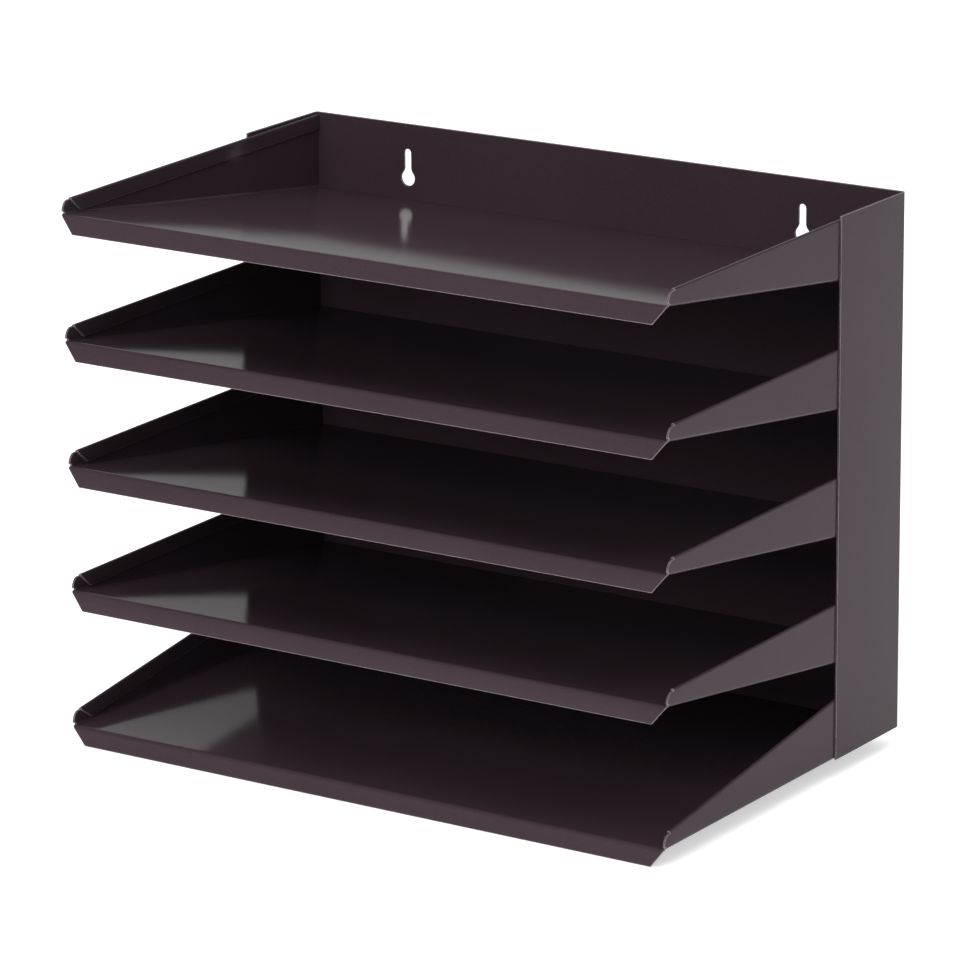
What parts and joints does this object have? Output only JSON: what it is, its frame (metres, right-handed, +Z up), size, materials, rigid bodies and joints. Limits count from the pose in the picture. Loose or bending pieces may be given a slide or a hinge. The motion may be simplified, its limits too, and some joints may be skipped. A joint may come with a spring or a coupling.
{
  "type": "desktop file sorter",
  "caption": "Steel desktop file sorter: shallow trays with tapered side wings and turned-down front lips, one above another in a folded cabinet that stands on a desk or hangs on a wall.",
  "frame": {"origin": "middle of the footprint, on the surface that the feet stand on", "axes": "+X to the right seen from the front, +Y towards the back panel, +Z up"},
  "size_m": [0.381, 0.241, 0.308],
  "materials": {
    "painted_steel": "semi-gloss fine-texture powder coat, very dark warm grey",
    "foot_rubber": "matt moulded rubber"
  },
  "bodies": {
    "root": {"cabinet_shell": "painted_steel", "tray_1_top": "painted_steel", "tray_2": "painted_steel", "tray_3": "painted_steel", "tray_4": "painted_steel", "tray_5_bottom": "painted_steel", "foot_front_left": "foot_rubber", "foot_front_right": "foot_rubber", "foot_rear_left": "foot_rubber", "foot_rear_right": "foot_rubber"}
  },
  "joints": []
}
